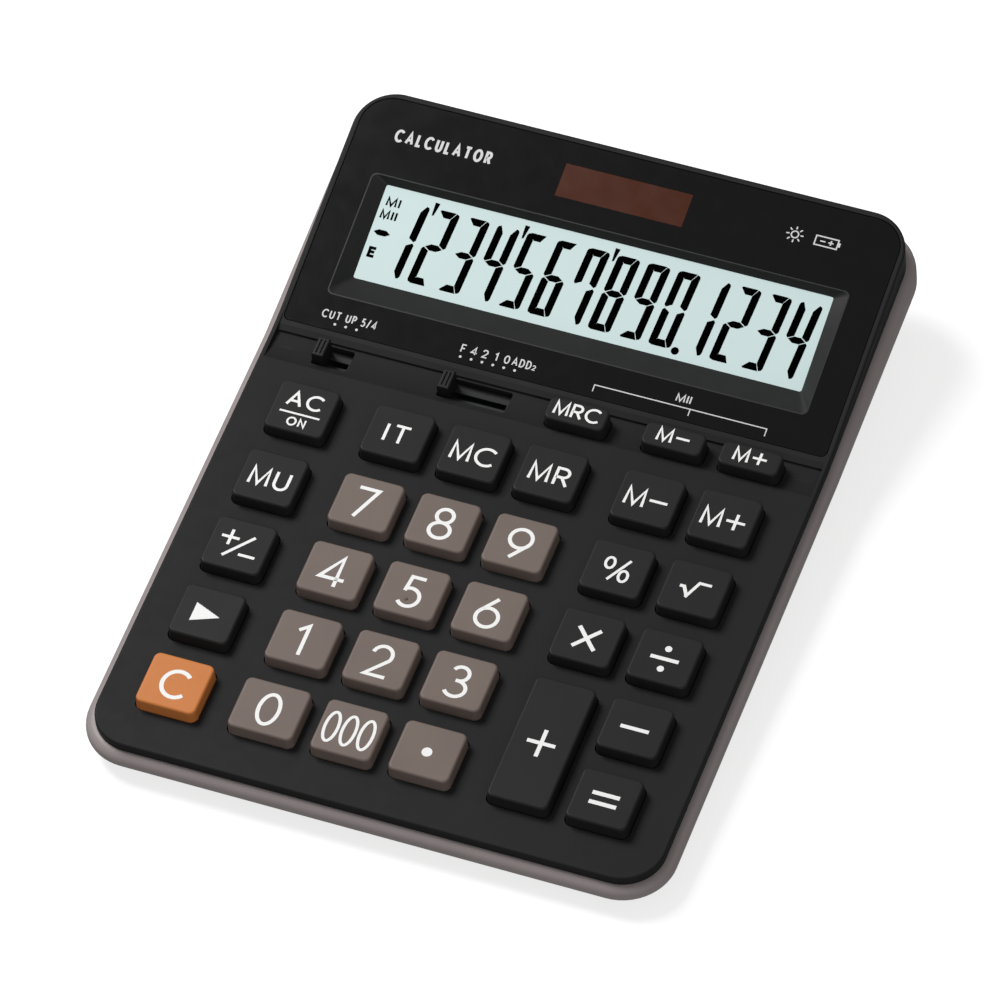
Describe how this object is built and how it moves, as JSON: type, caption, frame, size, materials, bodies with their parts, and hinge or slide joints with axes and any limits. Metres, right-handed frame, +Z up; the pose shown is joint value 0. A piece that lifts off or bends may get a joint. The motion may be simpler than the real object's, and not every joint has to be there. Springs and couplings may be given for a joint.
{
  "type": "desk calculator",
  "caption": "Wide desk calculator: sprung keys in rows, slide switches, a raised liquid crystal display, a solar window and a battery door underneath.",
  "frame": {"origin": "on the desk under the middle of the calculator's outline", "axes": "+X to the user's right, +Y away from the user, +Z up"},
  "size_m": [0.155, 0.2086, 0.0345],
  "materials": {
    "deck_plastic": "fine satin moulded plastic, near black",
    "grey_plastic": "satin moulded plastic, warm grey",
    "gloss_panel": "glossy back-printed black sheet",
    "frame_plastic": "satin black plastic",
    "number_key": "satin warm grey plastic",
    "black_key": "satin black plastic",
    "orange_key": "satin orange plastic",
    "lcd": "pale green liquid crystal cell",
    "reflector": "pale reflective sheet",
    "clear_window": "clear window over a dark cell",
    "solar_cell": "dark brown amorphous cell on glass",
    "green_board": "green solder mask",
    "black_resin": "black epoxy",
    "rubber": "soft black rubber",
    "mat_rubber": "translucent grey silicone",
    "wire": "insulated wire",
    "ribbon": "flat ribbon",
    "steel": "plated steel",
    "cell_metal": "polished steel can",
    "capacitor_can": "aluminium can"
  },
  "bodies": {
    "case": {"upper_case": "deck_plastic", "lower_case": "grey_plastic", "display_panel": "gloss_panel", "display_frame": "frame_plastic", "lcd_glass": "lcd", "lcd_reflector": "reflector", "lcd_holder": "frame_plastic", "lcd_ribbon": "ribbon", "solar_window": "clear_window", "solar_cell": "solar_cell", "solar_wires": "wire", "battery_wires": "wire", "circuit_board": "green_board", "key_mat": "mat_rubber", "controller_chip": "black_resin", "capacitor": "capacitor_can", "round_switch_body": "frame_plastic", "decimal_switch_body": "frame_plastic", "coin_cell": "cell_metal", "positive_contact": "steel", "negative_contact": "steel", "battery_door": "grey_plastic", "battery_door_screw": "steel", "case_screws": "steel", "board_screws": "steel", "rubber_feet": "rubber"},
    "round_knob": {"round_switch_knob": "black_key"},
    "decimal_knob": {"decimal_switch_knob": "black_key"},
    "key_ac_body": {"key_ac": "black_key"},
    "key_it_body": {"key_it": "black_key"},
    "key_mc_body": {"key_mc": "black_key"},
    "key_mr_body": {"key_mr": "black_key"},
    "key_m_minus_body": {"key_m_minus": "black_key"},
    "key_m_plus_body": {"key_m_plus": "black_key"},
    "key_mu_body": {"key_mu": "black_key"},
    "key_7_body": {"key_7": "number_key"},
    "key_8_body": {"key_8": "number_key"},
    "key_9_body": {"key_9": "number_key"},
    "key_percent_body": {"key_percent": "black_key"},
    "key_root_body": {"key_root": "black_key"},
    "key_sign_body": {"key_sign": "black_key"},
    "key_4_body": {"key_4": "number_key"},
    "key_5_body": {"key_5": "number_key"},
    "key_6_body": {"key_6": "number_key"},
    "key_times_body": {"key_times": "black_key"},
    "key_divide_body": {"key_divide": "black_key"},
    "key_arrow_body": {"key_arrow": "black_key"},
    "key_1_body": {"key_1": "number_key"},
    "key_2_body": {"key_2": "number_key"},
    "key_3_body": {"key_3": "number_key"},
    "key_minus_body": {"key_minus": "black_key"},
    "key_c_body": {"key_c": "orange_key"},
    "key_000_body": {"key_000": "number_key"},
    "key_point_body": {"key_point": "number_key"},
    "key_equals_body": {"key_equals": "black_key"},
    "key_0_body": {"key_0": "number_key"},
    "key_plus_body": {"key_plus": "black_key"},
    "key_mrc_body": {"key_mrc": "black_key"},
    "key_m2_minus_body": {"key_m2_minus": "black_key"},
    "key_m2_plus_body": {"key_m2_plus": "black_key"}
  },
  "joints": [
    {"name": "round_switch_slide", "type": "slide", "parent": "case", "child": "round_knob", "axis": [1, 0, 0], "range_m": [0, 0.0059]},
    {"name": "decimal_switch_slide", "type": "slide", "parent": "case", "child": "decimal_knob", "axis": [1, 0, 0], "range_m": [0, 0.01475]},
    {"name": "key_ac_press", "type": "slide", "parent": "case", "child": "key_ac_body", "axis": [0, 0.0523, -0.9986], "range_m": [0, 0.0015], "stiffness_N_per_m": 400, "springref_m": -0.0003, "deforming": ["key_mat"]},
    {"name": "key_it_press", "type": "slide", "parent": "case", "child": "key_it_body", "axis": [0, 0.0523, -0.9986], "range_m": [0, 0.0015], "stiffness_N_per_m": 400, "springref_m": -0.0003, "deforming": ["key_mat"]},
    {"name": "key_mc_press", "type": "slide", "parent": "case", "child": "key_mc_body", "axis": [0, 0.0523, -0.9986], "range_m": [0, 0.0015], "stiffness_N_per_m": 400, "springref_m": -0.0003, "deforming": ["key_mat"]},
    {"name": "key_mr_press", "type": "slide", "parent": "case", "child": "key_mr_body", "axis": [0, 0.0523, -0.9986], "range_m": [0, 0.0015], "stiffness_N_per_m": 400, "springref_m": -0.0003, "deforming": ["key_mat"]},
    {"name": "key_m_minus_press", "type": "slide", "parent": "case", "child": "key_m_minus_body", "axis": [0, 0.0523, -0.9986], "range_m": [0, 0.0015], "stiffness_N_per_m": 400, "springref_m": -0.0003, "deforming": ["key_mat"]},
    {"name": "key_m_plus_press", "type": "slide", "parent": "case", "child": "key_m_plus_body", "axis": [0, 0.0523, -0.9986], "range_m": [0, 0.0015], "stiffness_N_per_m": 400, "springref_m": -0.0003, "deforming": ["key_mat"]},
    {"name": "key_mu_press", "type": "slide", "parent": "case", "child": "key_mu_body", "axis": [0, 0.0523, -0.9986], "range_m": [0, 0.0015], "stiffness_N_per_m": 400, "springref_m": -0.0003, "deforming": ["key_mat"]},
    {"name": "key_7_press", "type": "slide", "parent": "case", "child": "key_7_body", "axis": [0, 0.0523, -0.9986], "range_m": [0, 0.0015], "stiffness_N_per_m": 400, "springref_m": -0.0003, "deforming": ["key_mat"]},
    {"name": "key_8_press", "type": "slide", "parent": "case", "child": "key_8_body", "axis": [0, 0.0523, -0.9986], "range_m": [0, 0.0015], "stiffness_N_per_m": 400, "springref_m": -0.0003, "deforming": ["key_mat"]},
    {"name": "key_9_press", "type": "slide", "parent": "case", "child": "key_9_body", "axis": [0, 0.0523, -0.9986], "range_m": [0, 0.0015], "stiffness_N_per_m": 400, "springref_m": -0.0003, "deforming": ["key_mat"]},
    {"name": "key_percent_press", "type": "slide", "parent": "case", "child": "key_percent_body", "axis": [0, 0.0523, -0.9986], "range_m": [0, 0.0015], "stiffness_N_per_m": 400, "springref_m": -0.0003, "deforming": ["key_mat"]},
    {"name": "key_root_press", "type": "slide", "parent": "case", "child": "key_root_body", "axis": [0, 0.0523, -0.9986], "range_m": [0, 0.0015], "stiffness_N_per_m": 400, "springref_m": -0.0003, "deforming": ["key_mat"]},
    {"name": "key_sign_press", "type": "slide", "parent": "case", "child": "key_sign_body", "axis": [0, 0.0523, -0.9986], "range_m": [0, 0.0015], "stiffness_N_per_m": 400, "springref_m": -0.0003, "deforming": ["key_mat"]},
    {"name": "key_4_press", "type": "slide", "parent": "case", "child": "key_4_body", "axis": [0, 0.0523, -0.9986], "range_m": [0, 0.0015], "stiffness_N_per_m": 400, "springref_m": -0.0003, "deforming": ["key_mat"]},
    {"name": "key_5_press", "type": "slide", "parent": "case", "child": "key_5_body", "axis": [0, 0.0523, -0.9986], "range_m": [0, 0.0015], "stiffness_N_per_m": 400, "springref_m": -0.0003, "deforming": ["key_mat"]},
    {"name": "key_6_press", "type": "slide", "parent": "case", "child": "key_6_body", "axis": [0, 0.0523, -0.9986], "range_m": [0, 0.0015], "stiffness_N_per_m": 400, "springref_m": -0.0003, "deforming": ["key_mat"]},
    {"name": "key_times_press", "type": "slide", "parent": "case", "child": "key_times_body", "axis": [0, 0.0523, -0.9986], "range_m": [0, 0.0015], "stiffness_N_per_m": 400, "springref_m": -0.0003, "deforming": ["key_mat"]},
    {"name": "key_divide_press", "type": "slide", "parent": "case", "child": "key_divide_body", "axis": [0, 0.0523, -0.9986], "range_m": [0, 0.0015], "stiffness_N_per_m": 400, "springref_m": -0.0003, "deforming": ["key_mat"]},
    {"name": "key_arrow_press", "type": "slide", "parent": "case", "child": "key_arrow_body", "axis": [0, 0.0523, -0.9986], "range_m": [0, 0.0015], "stiffness_N_per_m": 400, "springref_m": -0.0003, "deforming": ["key_mat"]},
    {"name": "key_1_press", "type": "slide", "parent": "case", "child": "key_1_body", "axis": [0, 0.0523, -0.9986], "range_m": [0, 0.0015], "stiffness_N_per_m": 400, "springref_m": -0.0003, "deforming": ["key_mat"]},
    {"name": "key_2_press", "type": "slide", "parent": "case", "child": "key_2_body", "axis": [0, 0.0523, -0.9986], "range_m": [0, 0.0015], "stiffness_N_per_m": 400, "springref_m": -0.0003, "deforming": ["key_mat"]},
    {"name": "key_3_press", "type": "slide", "parent": "case", "child": "key_3_body", "axis": [0, 0.0523, -0.9986], "range_m": [0, 0.0015], "stiffness_N_per_m": 400, "springref_m": -0.0003, "deforming": ["key_mat"]},
    {"name": "key_minus_press", "type": "slide", "parent": "case", "child": "key_minus_body", "axis": [0, 0.0523, -0.9986], "range_m": [0, 0.0015], "stiffness_N_per_m": 400, "springref_m": -0.0003, "deforming": ["key_mat"]},
    {"name": "key_c_press", "type": "slide", "parent": "case", "child": "key_c_body", "axis": [0, 0.0523, -0.9986], "range_m": [0, 0.0015], "stiffness_N_per_m": 400, "springref_m": -0.0003, "deforming": ["key_mat"]},
    {"name": "key_000_press", "type": "slide", "parent": "case", "child": "key_000_body", "axis": [0, 0.0523, -0.9986], "range_m": [0, 0.0015], "stiffness_N_per_m": 400, "springref_m": -0.0003, "deforming": ["key_mat"]},
    {"name": "key_point_press", "type": "slide", "parent": "case", "child": "key_point_body", "axis": [0, 0.0523, -0.9986], "range_m": [0, 0.0015], "stiffness_N_per_m": 400, "springref_m": -0.0003, "deforming": ["key_mat"]},
    {"name": "key_equals_press", "type": "slide", "parent": "case", "child": "key_equals_body", "axis": [0, 0.0523, -0.9986], "range_m": [0, 0.0015], "stiffness_N_per_m": 400, "springref_m": -0.0003, "deforming": ["key_mat"]},
    {"name": "key_0_press", "type": "slide", "parent": "case", "child": "key_0_body", "axis": [0, 0.0523, -0.9986], "range_m": [0, 0.0015], "stiffness_N_per_m": 400, "springref_m": -0.0003, "deforming": ["key_mat"]},
    {"name": "key_plus_press", "type": "slide", "parent": "case", "child": "key_plus_body", "axis": [0, 0.0523, -0.9986], "range_m": [0, 0.0015], "stiffness_N_per_m": 400, "springref_m": -0.0003, "deforming": ["key_mat"]},
    {"name": "key_mrc_press", "type": "slide", "parent": "case", "child": "key_mrc_body", "axis": [0, 0.0523, -0.9986], "range_m": [0, 0.0011], "stiffness_N_per_m": 400, "springref_m": -0.0003, "deforming": ["key_mat"]},
    {"name": "key_m2_minus_press", "type": "slide", "parent": "case", "child": "key_m2_minus_body", "axis": [0, 0.0523, -0.9986], "range_m": [0, 0.0011], "stiffness_N_per_m": 400, "springref_m": -0.0003, "deforming": ["key_mat"]},
    {"name": "key_m2_plus_press", "type": "slide", "parent": "case", "child": "key_m2_plus_body", "axis": [0, 0.0523, -0.9986], "range_m": [0, 0.0011], "stiffness_N_per_m": 400, "springref_m": -0.0003, "deforming": ["key_mat"]}
  ]
}
